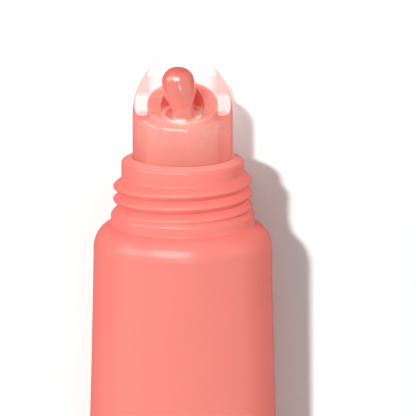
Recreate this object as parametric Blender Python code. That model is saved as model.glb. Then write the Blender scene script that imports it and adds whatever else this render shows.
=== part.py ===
"""Lip balm tube with a slanted clear applicator, lying on its back beside its screw cap.

The neck axis runs along Y at the height of the sleeve's radius above the table, with the
head towards +Y. Depths are measured along that axis from the collar's top plane: positive
towards the tail seal, negative towards the applicator's tip and the cap's closed end.
All sizes are in metres.
"""

import math

import bmesh
import bpy

# Clearances
FIT_GAP = 0.0003
THREAD_CLEARANCE = 0.0003
THREAD_TIP_CLEARANCE = 0.000425
BALM_GAP = 0.00033
CUT_OVERRUN = 0.001

# Sleeve: a round tube at the shoulder, pressed flat and welded shut at the tail
SLEEVE_RADIUS = 0.0095
SLEEVE_LENGTH = 0.075
SLEEVE_WALL = 0.0005
SLEEVE_SPREAD_SLOPE = 0.021
SEAL_LENGTH = 0.006
SEAL_THICKNESS = 0.0009
SEAL_RUN_IN = 0.0015
SEAL_MARGIN = 0.0014
SEAL_GROOVE_DEPTH = 0.0001
SEAL_GROOVES = 4
SLEEVE_RING_SHARES = (0, 0.09, 0.2, 0.32, 0.44, 0.56, 0.67, 0.77, 0.85, 0.91, 0.955)

# Cap walls, which with the sleeve's radius settle the neck's thread
CAP_SHELL_WALL = 0.0009
CAP_END_WALL = 0.0014
CAP_EDGE_ROUND = 0.0004
CAP_HEADROOM = 0.001
LINER_WALL = 0.0006
LINER_WEB = 0.001
LINER_SNAP_DEPTH = 0.001
LINER_SNAP_WIDTH = 0.001
LINER_SNAP_HEIGHT = 0.00025
GASKET_THICKNESS = 0.001
TIP_SIDE_CLEARANCE = 0.00045

# Neck and shoulder
THREAD_HEIGHT = 0.000875
THREAD_LEAD = 0.00137
THREAD_START_DEPTH = 0.00209
THREAD_LEAD_IN_TURNS = 0.35
THREAD_FADE_TURNS = 0.15
NECK_THREAD_BASE = 0.001
NECK_THREAD_CREST = 0.0004
LINER_THREAD_BASE = 0.0008
LINER_THREAD_CREST = 0.0003
LINER_THREAD_TURNS = 2.25
COLLAR_ROUND = 0.00015
RING_DEPTH = 0.00558
RING_WIDTH = 0.00088
RING_HEIGHT = 0.001125
RING_ROUND = 0.0002
SHOULDER_STEP = 0.000775
SHOULDER_LENGTH = 0.00304
SHOULDER_WALL = 0.0012
NECK_WALL = 0.000895
HEAD_SKIRT_LENGTH = 0.0025
HEAD_SKIRT_WALL = 0.0008

# Applicator
TIP_WALL = 0.0016
TIP_STRAIGHT = 0.0048
TIP_DOME_HEIGHT = 0.007
TIP_SKIRT_LENGTH = 0.0055
TIP_SNAP_DEPTH = 0.0036
TIP_SNAP_WIDTH = 0.0009
TIP_SNAP_HEIGHT = 0.00025
FACE_RADIUS = 0.00787
FACE_RIM_TILT = math.radians(4.67)
ROOF_RIM_DROP = 0.00055
ROOF_TILT = math.radians(22.6)
OUTLET_RADIUS = 0.0022

# Balm: the bead stands out of the outlet, and the column can draw back into the bore
BEAD_STANDOUT = 0.00431
FEED_TRAVEL = 0.0045

# How far the cap stands off, in whole turns of its thread
CAP_TURNS_OFF = 26

# Mesh fineness
ROUND_SIDES = 48
FINE_SIDES = 96
DOME_STEPS = 10
CURVE_STEPS = 7
MERGE_DISTANCE = 0.000001
SMOOTH_ANGLE = math.radians(35)

# Radii that follow from the sleeve, the walls and the clearances
CAP_RADIUS = SLEEVE_RADIUS
SHELL_BORE_RADIUS = CAP_RADIUS - CAP_SHELL_WALL
LINER_RADIUS = SHELL_BORE_RADIUS - FIT_GAP
LINER_ROOT_RADIUS = LINER_RADIUS - LINER_WALL
THREAD_CREST_RADIUS = LINER_ROOT_RADIUS - THREAD_CLEARANCE
COLLAR_RADIUS = THREAD_CREST_RADIUS - THREAD_HEIGHT
LINER_CREST_RADIUS = COLLAR_RADIUS + THREAD_TIP_CLEARANCE
NECK_BORE_RADIUS = COLLAR_RADIUS - NECK_WALL
TIP_RADIUS = NECK_BORE_RADIUS - FIT_GAP
TIP_BORE_RADIUS = TIP_RADIUS - TIP_WALL
RING_RADIUS = COLLAR_RADIUS + RING_HEIGHT
SHOULDER_TOP_RADIUS = COLLAR_RADIUS + SHOULDER_STEP
SKIRT_RADIUS = SLEEVE_RADIUS - SLEEVE_WALL - FIT_GAP
SKIRT_BORE_RADIUS = SKIRT_RADIUS - HEAD_SKIRT_WALL
OUTLET_OFFSET = TIP_BORE_RADIUS - OUTLET_RADIUS
BEAD_RADIUS = OUTLET_RADIUS - BALM_GAP
GASKET_BORE_RADIUS = TIP_RADIUS + TIP_SIDE_CLEARANCE

# Depths that follow in the same way
NECK_LENGTH = RING_DEPTH + RING_WIDTH
SHOULDER_END = NECK_LENGTH + SHOULDER_LENGTH
SKIRT_END = SHOULDER_END + HEAD_SKIRT_LENGTH
SLEEVE_TOP = SHOULDER_END + FIT_GAP
SEAL_TOP = SLEEVE_TOP + SLEEVE_LENGTH
TAIL_END = SEAL_TOP + SEAL_LENGTH
TIP_APEX = -TIP_STRAIGHT - TIP_DOME_HEIGHT
CAP_CEILING = TIP_APEX - CAP_HEADROOM
CAP_CLOSED_END = CAP_CEILING - CAP_END_WALL
CAP_MOUTH = NECK_LENGTH
COLUMN_FOOT = TIP_SKIRT_LENGTH - FEED_TRAVEL - FIT_GAP
CAP_TRAVEL = CAP_TURNS_OFF * THREAD_LEAD
GASKET_SEAT = -FIT_GAP
LINER_WEB_FACE = GASKET_SEAT - GASKET_THICKNESS - FIT_GAP
TAIL_HALF_WIDTH = math.pi * SLEEVE_RADIUS / 2
CAVITY_END_SHARE = 1 - SEAL_RUN_IN / SLEEVE_LENGTH

# The axis of the round scoop that leaves the applicator's slanted face
SCOOP_RISE = TIP_RADIUS + FACE_RADIUS * math.sin(FACE_RIM_TILT)
SCOOP_DEPTH = -TIP_STRAIGHT - FACE_RADIUS * math.cos(FACE_RIM_TILT)

# Where the neck axis and the collar's top plane lie above the table's middle
AXIS_HEIGHT = SLEEVE_RADIUS
COLLAR_PLACE = (TAIL_END + CAP_CLOSED_END - CAP_TRAVEL) / 2


def material(name, colour, roughness, transmission=0):
    """A plain surface for one piece."""
    made = bpy.data.materials.new(name)
    made.use_nodes = True
    shader = made.node_tree.nodes["Principled BSDF"]
    shader.inputs["Base Color"].default_value = (*colour, 1)
    shader.inputs["Roughness"].default_value = roughness
    shader.inputs["Metallic"].default_value = 0
    shader.inputs["Transmission Weight"].default_value = transmission
    return made


def place(name, mesh, surface, parent=None):
    """An object whose origin is on the neck axis at the collar's top plane."""
    piece = bpy.data.objects.new(name, mesh)
    bpy.context.scene.collection.objects.link(piece)
    if surface:
        mesh.materials.append(surface)
    if parent:
        piece.parent = parent
    else:
        piece.location = (0, COLLAR_PLACE, AXIS_HEIGHT)
    return piece


def finished_mesh(name, shape):
    """Close a bmesh, turn its faces outwards and shade it."""
    bmesh.ops.remove_doubles(shape, verts=shape.verts, dist=MERGE_DISTANCE)
    bmesh.ops.recalc_face_normals(shape, faces=shape.faces)
    mesh = bpy.data.meshes.new(name)
    shape.to_mesh(mesh)
    shape.free()
    mesh.shade_smooth()
    mesh.set_sharp_from_angle(angle=SMOOTH_ANGLE)
    return mesh


def turned(name, outline, sides=ROUND_SIDES, rise=0):
    """A mesh turned about the neck axis, or about a line raised above it, from depths and radii."""
    shape = bmesh.new()
    points = [shape.verts.new((radius, -depth, rise)) for depth, radius in outline]
    ends_on_axis = outline[0][1] == 0 and outline[-1][1] == 0
    count = len(points) - 1 if ends_on_axis else len(points)
    edges = [shape.edges.new((points[i], points[(i + 1) % len(points)])) for i in range(count)]
    bmesh.ops.spin(
        shape,
        geom=[*points, *edges],
        cent=(0, 0, rise),
        axis=(0, -1, 0),
        angle=2 * math.pi,
        steps=sides,
        use_merge=True,
    )
    return finished_mesh(name, shape)


def quarter_oval(depth_a, radius_a, depth_b, radius_b, steps):
    """Depths and radii along a quarter oval that leaves a square to the axis and ends along it."""
    points = []
    for step in range(steps + 1):
        turn = math.pi / 2 * step / steps
        depth = depth_b + (depth_a - depth_b) * math.cos(turn)
        points.append((depth, radius_a + (radius_b - radius_a) * math.sin(turn)))
    return points


def sleeve_section(along):
    """Half width and half depth of the sleeve at a distance from its top, at constant girth."""
    spread = SLEEVE_SPREAD_SLOPE * along
    flare = TAIL_HALF_WIDTH - SLEEVE_RADIUS - SLEEVE_SPREAD_SLOPE * SLEEVE_LENGTH
    wide = SLEEVE_RADIUS + spread + flare * (along / SLEEVE_LENGTH) ** 3
    girth = 2 * SLEEVE_RADIUS
    low, high = 0, SLEEVE_RADIUS
    for _ in range(40):
        deep = (low + high) / 2
        root = math.sqrt((3 * wide + deep) * (wide + 3 * deep))
        if 3 * (wide + deep) - root > girth:
            high = deep
        else:
            low = deep
    return wide, max(deep, SEAL_THICKNESS / 2)


def oval_ring(depth, wide, deep, rise):
    """Points of an oval section whose middle is raised from the neck axis."""
    points = []
    for side in range(ROUND_SIDES):
        turn = 2 * math.pi * side / ROUND_SIDES
        points.append((wide * math.cos(turn), -depth, rise + deep * math.sin(turn)))
    return points


def flat_ring(depth, wide, half_thickness):
    """Points of a flat section lying on the table, numbered as an oval's are."""
    middle = SEAL_THICKNESS / 2 - AXIS_HEIGHT
    points = []
    for side in range(ROUND_SIDES):
        turn = 2 * math.pi * side / ROUND_SIDES
        height = 0
        if side % (ROUND_SIDES // 2):
            height = math.copysign(half_thickness, math.sin(turn))
        points.append((wide * math.cos(turn), -depth, middle + height))
    return points


def lofted(name, rings):
    """A closed mesh through a list of rings, capped at both ends."""
    shape = bmesh.new()
    rows = [[shape.verts.new(point) for point in ring] for ring in rings]
    for lower, upper in zip(rows, rows[1:]):
        for side in range(len(lower)):
            following = (side + 1) % len(lower)
            shape.faces.new((lower[side], lower[following], upper[following], upper[side]))
    shape.faces.new(rows[0])
    shape.faces.new(rows[-1])
    return finished_mesh(name, shape)


def sleeve_ring(share, inset):
    """The sleeve's section at a share of its length, drawn in by an inset."""
    along = SLEEVE_LENGTH * share
    wide, deep = sleeve_section(along)
    return oval_ring(SLEEVE_TOP + along, wide - inset, deep - inset, deep - AXIS_HEIGHT)


def thread_ridge(name, start, end, shift, root_radius, crest_radius, base, crest):
    """A helical ridge with faded ends, from one turn count to another."""
    steps = round((end - start) * ROUND_SIDES)
    overlap = math.copysign(FIT_GAP / 2, root_radius - crest_radius)
    foot_radius = root_radius + overlap
    height = crest_radius - foot_radius
    outline = (
        (0, -base / 2),
        (1, -crest / 2),
        (1, crest / 2),
        (0, base / 2),
    )
    rings = []
    for step in range(steps + 1):
        turn = start + (end - start) * step / steps
        fade = min(1, (turn - start) / THREAD_FADE_TURNS, (end - turn) / THREAD_FADE_TURNS)
        fade = abs(overlap / height) / 2 * (1 - fade) + fade
        angle = 2 * math.pi * turn
        ring = []
        for rise, offset in outline:
            radius = foot_radius + height * rise * fade
            depth = THREAD_START_DEPTH + shift + THREAD_LEAD * turn + offset
            ring.append((radius * math.cos(angle), -depth, radius * math.sin(angle)))
        rings.append(ring)
    return lofted(name, rings)


def helper(name, mesh, parent=None):
    """A shape that only cuts or joins another."""
    tool = place(name, mesh, None, parent)
    tool.hide_render = True
    tool.display_type = "WIRE"
    return tool


def combine(piece, tool, operation):
    """Join a helper to a piece, or cut the piece with it."""
    step = piece.modifiers.new(tool.name, "BOOLEAN")
    step.object = tool
    step.operation = operation
    step.solver = "EXACT"


def face(rise):
    """Depth of the applicator's scooped face, at a height above the axis."""
    return SCOOP_DEPTH + math.sqrt(FACE_RADIUS**2 - (SCOOP_RISE - rise) ** 2)


def roof(rise):
    """Depth of the slanted ceiling of the applicator's bore, at a height above the axis."""
    front = -TIP_STRAIGHT + ROOF_RIM_DROP
    return front - (TIP_BORE_RADIUS - rise) * math.tan(ROOF_TILT)


def slanted_column(name, foot_depth, radius, roof_drop):
    """A round column on the neck axis whose top follows the bore's ceiling."""
    foot, top = [], []
    for side in range(ROUND_SIDES):
        turn = 2 * math.pi * side / ROUND_SIDES
        across, rise = radius * math.cos(turn), radius * math.sin(turn)
        foot.append((across, -foot_depth, rise))
        top.append((across, -roof(rise) - roof_drop, rise))
    return lofted(name, [foot, top])


def make_sleeve(surface):
    """The soft body: an open front, and a crimped tail with pressed grooves."""
    shares = [*SLEEVE_RING_SHARES, CAVITY_END_SHARE]
    inner = [sleeve_ring(share, SLEEVE_WALL) for share in shares]
    outer = [sleeve_ring(share, 0) for share in shares]
    groove_run = SEAL_LENGTH - 2 * SEAL_MARGIN
    pitch = groove_run / SEAL_GROOVES
    full = SEAL_THICKNESS / 2
    seal = [flat_ring(SEAL_TOP, TAIL_HALF_WIDTH, full)]
    for groove in range(SEAL_GROOVES):
        start = SEAL_TOP + SEAL_MARGIN + pitch * groove
        seal.append(flat_ring(start, TAIL_HALF_WIDTH, full))
        seal.append(flat_ring(start + pitch / 4, TAIL_HALF_WIDTH, full - SEAL_GROOVE_DEPTH))
        seal.append(flat_ring(start + pitch / 2, TAIL_HALF_WIDTH, full))
    seal.append(flat_ring(TAIL_END, TAIL_HALF_WIDTH, full))
    return place("tube_sleeve", lofted("tube_sleeve", inner[::-1] + outer + seal), surface)


def make_head(surface):
    """Shoulder, threaded neck and bead ring in one moulding, with a skirt inside the sleeve."""
    snap_middle = TIP_SNAP_DEPTH + TIP_SNAP_WIDTH / 2
    outline = [
        (0, NECK_BORE_RADIUS),
        (0, COLLAR_RADIUS - COLLAR_ROUND),
        (COLLAR_ROUND, COLLAR_RADIUS),
        (RING_DEPTH, COLLAR_RADIUS),
        (RING_DEPTH, RING_RADIUS - RING_ROUND),
        (RING_DEPTH + RING_ROUND, RING_RADIUS),
        (NECK_LENGTH - RING_ROUND, RING_RADIUS),
        (NECK_LENGTH, RING_RADIUS - RING_ROUND),
        *quarter_oval(NECK_LENGTH, SHOULDER_TOP_RADIUS, SHOULDER_END, SLEEVE_RADIUS, CURVE_STEPS),
        (SHOULDER_END, SKIRT_RADIUS),
        (SKIRT_END, SKIRT_RADIUS),
        (SKIRT_END, SKIRT_BORE_RADIUS),
        *quarter_oval(
            NECK_LENGTH + SHOULDER_WALL,
            NECK_BORE_RADIUS,
            SHOULDER_END + SHOULDER_WALL,
            SKIRT_BORE_RADIUS,
            CURVE_STEPS,
        )[::-1],
        (TIP_SNAP_DEPTH + TIP_SNAP_WIDTH, NECK_BORE_RADIUS),
        (snap_middle, NECK_BORE_RADIUS + TIP_SNAP_HEIGHT),
        (TIP_SNAP_DEPTH, NECK_BORE_RADIUS),
    ]
    head = place("tube_head", turned("tube_head", outline), surface)
    last_turn = (RING_DEPTH + RING_WIDTH / 2 - THREAD_START_DEPTH) / THREAD_LEAD
    ridge = thread_ridge(
        "neck_thread_form",
        -THREAD_LEAD_IN_TURNS,
        last_turn,
        0,
        COLLAR_RADIUS,
        THREAD_CREST_RADIUS,
        NECK_THREAD_BASE,
        NECK_THREAD_CREST,
    )
    combine(head, helper("neck_thread_form", ridge), "UNION")
    return head


def make_tip(surface):
    """The clear applicator: a bullet dome, a scooped face, an outlet and a balm bore."""
    dome = quarter_oval(TIP_APEX, 0, -TIP_STRAIGHT, TIP_RADIUS, DOME_STEPS)
    outline = [
        *dome,
        (TIP_SNAP_DEPTH, TIP_RADIUS),
        (TIP_SNAP_DEPTH + TIP_SNAP_WIDTH / 2, TIP_RADIUS + TIP_SNAP_HEIGHT),
        (TIP_SNAP_DEPTH + TIP_SNAP_WIDTH, TIP_RADIUS),
        (TIP_SKIRT_LENGTH, TIP_RADIUS),
        (TIP_SKIRT_LENGTH, 0),
    ]
    tip = place("applicator_tip", turned("applicator_tip", outline), surface)

    scoop = bmesh.new()
    bmesh.ops.create_cone(
        scoop,
        cap_ends=True,
        segments=FINE_SIDES,
        radius1=FACE_RADIUS,
        radius2=FACE_RADIUS,
        depth=2 * (TIP_RADIUS + CUT_OVERRUN),
    )
    for point in scoop.verts:
        across, along, up = point.co
        point.co = (up, along - SCOOP_DEPTH, across + SCOOP_RISE)
    combine(tip, helper("face_form", finished_mesh("face_form", scoop)), "DIFFERENCE")

    bore = slanted_column("bore_form", TIP_SKIRT_LENGTH + CUT_OVERRUN, TIP_BORE_RADIUS, 0)
    combine(tip, helper("bore_form", bore), "DIFFERENCE")

    outlet_foot = roof(TIP_BORE_RADIUS)
    outlet = [
        (TIP_APEX, 0),
        (TIP_APEX, OUTLET_RADIUS),
        (outlet_foot, OUTLET_RADIUS),
        (outlet_foot, 0),
    ]
    outlet_form = turned("outlet_form", outlet, ROUND_SIDES, OUTLET_OFFSET)
    combine(tip, helper("outlet_form", outlet_form), "DIFFERENCE")
    return tip


def make_reservoir(surface):
    """The balm that fills the sleeve, the shoulder and the foot of the neck."""
    rings = [oval_ring(TIP_SKIRT_LENGTH + FIT_GAP, TIP_RADIUS, TIP_RADIUS, 0)]
    funnel = quarter_oval(
        NECK_LENGTH + SHOULDER_WALL,
        NECK_BORE_RADIUS,
        SHOULDER_END + SHOULDER_WALL,
        SKIRT_BORE_RADIUS,
        CURVE_STEPS,
    )
    for depth, radius in [*funnel, (SKIRT_END, SKIRT_BORE_RADIUS)]:
        rings.append(oval_ring(depth + FIT_GAP, radius - FIT_GAP, radius - FIT_GAP, 0))
    skirt_share = (SKIRT_END + FIT_GAP - SLEEVE_TOP) / SLEEVE_LENGTH
    last_share = CAVITY_END_SHARE - FIT_GAP / SLEEVE_LENGTH
    shares = [share for share in SLEEVE_RING_SHARES if skirt_share < share < last_share]
    inset = SLEEVE_WALL + FIT_GAP
    rings += [sleeve_ring(share, inset) for share in [skirt_share, *shares, last_share]]
    return place("balm_reservoir", lofted("balm_reservoir", rings), surface)


def make_balm_column(surface):
    """The balm in the applicator's bore, with the bead that stands out of the outlet."""
    column = slanted_column("balm_column", COLUMN_FOOT, TIP_BORE_RADIUS - FIT_GAP, FIT_GAP)
    piece = place("balm_column", column, surface)
    top = face(OUTLET_OFFSET) - BEAD_STANDOUT
    foot = roof(TIP_BORE_RADIUS) + BEAD_RADIUS
    bead = [
        *quarter_oval(top, 0, top + BEAD_RADIUS, BEAD_RADIUS, CURVE_STEPS),
        (foot, BEAD_RADIUS),
        (foot, 0),
    ]
    bead_form = helper("bead_form", turned("bead_form", bead, ROUND_SIDES // 2, OUTLET_OFFSET))
    combine(piece, bead_form, "UNION")
    return piece


def make_cap_shell(surface, stand):
    """The smooth outer cap, closed at its far end."""
    snap_top = LINER_WEB_FACE + LINER_SNAP_DEPTH
    outline = [
        (CAP_CLOSED_END, 0),
        (CAP_CLOSED_END, CAP_RADIUS - CAP_EDGE_ROUND),
        (CAP_CLOSED_END + CAP_EDGE_ROUND, CAP_RADIUS),
        (CAP_MOUTH, CAP_RADIUS),
        (CAP_MOUTH, SHELL_BORE_RADIUS),
        (snap_top + LINER_SNAP_WIDTH, SHELL_BORE_RADIUS),
        (snap_top + LINER_SNAP_WIDTH / 2, SHELL_BORE_RADIUS + LINER_SNAP_HEIGHT),
        (snap_top, SHELL_BORE_RADIUS),
        (CAP_CEILING, SHELL_BORE_RADIUS),
        (CAP_CEILING, 0),
    ]
    return place("cap_shell", turned("cap_shell", outline), surface, stand)


def make_cap_liner(surface, stand):
    """The threaded sleeve inside the cap, with the web that the gasket sits against."""
    snap_top = LINER_WEB_FACE + LINER_SNAP_DEPTH
    mouth = RING_DEPTH - FIT_GAP
    outline = [
        (mouth, LINER_ROOT_RADIUS),
        (mouth, LINER_RADIUS),
        (snap_top + LINER_SNAP_WIDTH, LINER_RADIUS),
        (snap_top + LINER_SNAP_WIDTH / 2, LINER_RADIUS + LINER_SNAP_HEIGHT),
        (snap_top, LINER_RADIUS),
        (LINER_WEB_FACE - LINER_WEB, LINER_RADIUS),
        (LINER_WEB_FACE - LINER_WEB, GASKET_BORE_RADIUS),
        (LINER_WEB_FACE, GASKET_BORE_RADIUS),
        (LINER_WEB_FACE, LINER_ROOT_RADIUS),
    ]
    liner = place("cap_liner", turned("cap_liner", outline), surface, stand)
    room = mouth - LINER_THREAD_BASE / 2 - THREAD_START_DEPTH - THREAD_LEAD / 2
    last_turn = room / THREAD_LEAD
    ridge = thread_ridge(
        "liner_thread_form",
        last_turn - LINER_THREAD_TURNS,
        last_turn,
        THREAD_LEAD / 2,
        LINER_ROOT_RADIUS,
        LINER_CREST_RADIUS,
        LINER_THREAD_BASE,
        LINER_THREAD_CREST,
    )
    combine(liner, helper("liner_thread_form", ridge, stand), "UNION")
    return liner


def make_gasket(surface, stand):
    """The soft ring that seals the cap on the collar's top."""
    outline = [
        (GASKET_SEAT, GASKET_BORE_RADIUS),
        (GASKET_SEAT, LINER_ROOT_RADIUS - FIT_GAP),
        (GASKET_SEAT - GASKET_THICKNESS, LINER_ROOT_RADIUS - FIT_GAP),
        (GASKET_SEAT - GASKET_THICKNESS, GASKET_BORE_RADIUS),
    ]
    return place("cap_gasket", turned("cap_gasket", outline), surface, stand)


def main():
    """Clear the scene and build every piece."""
    for old in list(bpy.data.objects):
        bpy.data.objects.remove(old, do_unlink=True)

    coral = material("coral_plastic", (0.956, 0.287, 0.242), 0.42)
    clear = material("clear_plastic", (1, 0.98, 0.97), 0.05, 1)
    balm = material("coral_balm", (0.745, 0.181, 0.141), 0.12)
    liner = material("white_plastic", (0.85, 0.84, 0.82), 0.45)
    foam = material("foam_gasket", (0.9, 0.89, 0.87), 0.8)

    make_sleeve(coral)
    make_head(coral)
    make_tip(clear)
    make_reservoir(balm)
    make_balm_column(balm)

    stand = bpy.data.objects.new("cap_stand", None)
    bpy.context.scene.collection.objects.link(stand)
    stand.location = (0, COLLAR_PLACE + CAP_TRAVEL, AXIS_HEIGHT)
    make_cap_shell(coral, stand)
    make_cap_liner(liner, stand)
    make_gasket(foam, stand)


main()
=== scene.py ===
"""The lip balm tube as it looks: fine shapes, finishes, light and camera.

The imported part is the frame. Every piece here is drawn in the part's own place and stands for
one of its nodes. As in the part, depths run along the neck axis from the collar's top plane:
positive towards the tail seal, negative towards the applicator's tip. Sizes are in metres.
"""

import math

import bmesh
import bpy
from mathutils import Matrix, Vector


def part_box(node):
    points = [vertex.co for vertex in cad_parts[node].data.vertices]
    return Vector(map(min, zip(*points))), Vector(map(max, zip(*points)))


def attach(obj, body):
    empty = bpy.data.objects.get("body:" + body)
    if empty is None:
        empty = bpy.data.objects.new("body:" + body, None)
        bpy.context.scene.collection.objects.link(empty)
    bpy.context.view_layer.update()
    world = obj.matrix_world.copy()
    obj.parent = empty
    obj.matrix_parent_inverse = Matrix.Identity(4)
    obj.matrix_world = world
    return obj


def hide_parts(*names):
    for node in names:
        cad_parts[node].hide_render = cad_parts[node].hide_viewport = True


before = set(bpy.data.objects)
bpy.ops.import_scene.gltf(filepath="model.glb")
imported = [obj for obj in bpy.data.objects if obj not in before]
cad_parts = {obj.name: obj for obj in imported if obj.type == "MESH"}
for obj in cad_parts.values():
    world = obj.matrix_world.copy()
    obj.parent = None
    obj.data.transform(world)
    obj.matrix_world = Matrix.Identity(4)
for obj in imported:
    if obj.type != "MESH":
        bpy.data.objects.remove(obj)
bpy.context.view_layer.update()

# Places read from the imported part
HEAD_LOW, HEAD_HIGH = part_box("tube_head")
COLLAR_PLACE = HEAD_HIGH.y
AXIS_HEIGHT = (HEAD_LOW.z + HEAD_HIGH.z) / 2

# Neck and shoulder
NECK_BORE_RADIUS = 0.00538
COLLAR_RADIUS = 0.006525
COLLAR_ROUND = 0.00028
COLLAR_LAND_RISE = 0.00045
RING_DEPTH = 0.0057
RING_RADIUS = 0.00765
RING_ROUND = 0.00025
RING_CONE = 0.00098
RING_FOOT_ROUND = 0.00014
NECK_LENGTH = 0.00646
SHOULDER_TOP = 0.00678
SHOULDER_TOP_RADIUS = 0.0073
SHOULDER_END = 0.0095
SHOULDER_WALL = 0.0012
SHOULDER_STEPS = 40
FUNNEL_STEPS = 16
SKIRT_END = 0.012
SKIRT_RADIUS = 0.0087
SKIRT_BORE_RADIUS = 0.0079

# Neck thread, right-handed, with rounded crests and flanks that meet in the valleys
THREAD_LEAD = 0.00137
THREAD_START_DEPTH = 0.00209
THREAD_HEIGHT = 0.000875
THREAD_FIRST_TURN = -0.35
THREAD_RUN_ON = 0.00032
THREAD_LEAD_IN = 0.35
THREAD_FADE = 0.15
THREAD_FLANK_SLOPE = 1.45
THREAD_CREST_ROUND = 0.00028
THREAD_VALLEY_FILLET = 0.00022
THREAD_ROW_STEP = 0.000035
OUTWARDS, INWARDS = 1.0, -1.0

# Sleeve: round at the shoulder and pressed flat at the tail seal, at one girth all along
SLEEVE_RADIUS = 0.0095
SLEEVE_TOP = 0.0098
SLEEVE_LENGTH = 0.075
SLEEVE_WALL = 0.0005
SLEEVE_SPREAD_SLOPE = 0.021
SLEEVE_ROWS = 44
SLEEVE_TOP_SHARES = (0, 0.012, 0.03)
SLEEVE_TAIL_SHARES = (0.99, 1)
LIP_OVERLAP = 0.0006
LIP_THICKNESS = 0.000012
LIP_OVERLAP_AND_THICKNESS_SHARES = ((1, -1), (0.85, 0.6), (0.6, 1), (0.3, 0.2), (0, 0))
SEAL_LENGTH = 0.006
SEAL_THICKNESS = 0.0009
SEAL_EDGE_ROUND = 0.00012
SEAL_RUN_IN = 0.0015
SEAL_MARGIN = 0.0014
SEAL_GROOVES = 4
SEAL_GROOVE_DEPTH = 0.0001
SEAL_ROWS = 96
SEAL_END_SHARES = (0.35, 0.7, 1)
SEAL_LEAST_ROUND = SEAL_EDGE_ROUND / 8
SEAL_HALF_WIDTH = math.pi * SLEEVE_RADIUS / 2
CAVITY_END_HALF_DEPTH = SEAL_THICKNESS / 8

# Applicator: a bullet dome with a scooped face, an outlet and a bore with a slanted roof
TIP_RADIUS = 0.00533
TIP_STRAIGHT = 0.0048
TIP_DOME_HEIGHT = 0.007
TIP_BORE_RADIUS = 0.00373
TIP_SKIRT_LENGTH = 0.0055
FACE_RADIUS = 0.00787
FACE_RIM_TILT = math.radians(4.67)
FACE_LIP_FRONT = 0.00095
FACE_LIP_BACK = 0.0002
FACE_LIP_CURVE = 1.5
ROOF_FRONT_DEPTH = -0.00425
ROOF_TILT = math.radians(22.6)
RIM_NEAREST = TIP_RADIUS * 0.3
OUTLET_RADIUS = 0.0022
OUTLET_ROUND = 0.00012
OUTLET_RISE = TIP_BORE_RADIUS - OUTLET_RADIUS
TIP_FINE_STEPS = 160
DOME_STEPS = 56
FACE_LIP_STEPS = 9
FACE_STEPS = 40
OUTLET_EDGE_STEPS = 5
OUTLET_STEPS = 8
ROOF_STEPS = 6

# Balm: a core that wets the bore, and the bead pressed out of the outlet
WET_OVERLAP = 0.000015
CORE_FOOT_DEPTH = 0.0007
CORE_ROWS = 24
BEAD_RADIUS = 0.00175
BEAD_WAIST_RADIUS = 0.00114
BEAD_FOOT_RADIUS = 0.00215

# The bead's path: places across, in depth and above the outlet's middle; pulls across, forwards, up
BEAD_FOOT_PLACE = (0.0001, -0.00512, 0)
BEAD_FOOT_REACH = 0.0008
BEAD_FOOT_PULL = (0, math.cos(ROOF_TILT) * BEAD_FOOT_REACH, math.sin(ROOF_TILT) * BEAD_FOOT_REACH)
BEAD_WAIST_PLACE = (-0.00006, -0.0064, 0.0002)
BEAD_WAIST_PULL = (-0.00012, 0.0007, 0)
BEAD_TOP_PLACE = (-0.00066, -0.01038, -0.00055)
BEAD_TOP_PULL = (-0.0001, 0.0012, -0.00035)

# Shares of the path at which the foot ends, the waist swells to full size and the end closes
BEAD_FOOT_END = 0.2
BEAD_FOOT_CURVE = 2.6
BEAD_SWELL_START = 0.12
BEAD_SWELL_END = 0.54
BEAD_CLOSING_START = 0.68
BEAD_CLOSING_CURVE = 2.2

# Cap, whose depths run from the plane that meets the collar's top when it is screwed on
CAP_RADIUS = 0.0095
CAP_MOUTH = 0.00646
CAP_CEILING = -0.0128
CAP_CLOSED_END = -0.0142
SHELL_BORE_RADIUS = 0.0086
CAP_EDGE_ROUND = 0.0005
CAP_MOUTH_ROUND = 0.00015
LINER_RADIUS = 0.0083
LINER_ROOT_RADIUS = 0.0077
LINER_MOUTH = 0.00528
LINER_WEB_DEPTH = -0.0016
LINER_WEB = 0.001
LINER_THREAD_HEIGHT = 0.00068
LINER_THREAD_TURNS = 2.25
LINER_THREAD_END = 1.15
LINER_FLANK_SLOPE = 2.2
GASKET_BORE_RADIUS = 0.00578
GASKET_RADIUS = 0.0074
GASKET_SEAT = -0.0003
GASKET_THICKNESS = 0.001
GASKET_EDGE_ROUND = 0.00012
CAP_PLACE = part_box("cap_gasket")[0].y + GASKET_SEAT

# The photograph's view: leaning this far from straight above towards the applicator
VIEW_LEAN = math.radians(12.4)
VIEW_DISTANCE = 0.8
VIEW_WIDTH = 0.04433
VIEW_TARGET = (0.002707, COLLAR_PLACE - 0.005203, AXIS_HEIGHT)
VIEW_NEAREST = 0.01
VIEW_FARTHEST = 20
FILM_WIDTH = 36

# Light, aimed at the middle of the collar's top, and the floor
AIM = Vector((0, COLLAR_PLACE, AXIS_HEIGHT))
NECK_AXIS = Vector((0, 1, 0))
SUN_DIRECTION = Vector((-0.384, 0.327, 1)).normalized()
FLOOR_HALF_WIDTH = 3

# How much more of the room's light the clear plastic gathers on the balm inside it
PLASTIC_GATHERS = 0.4

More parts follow.
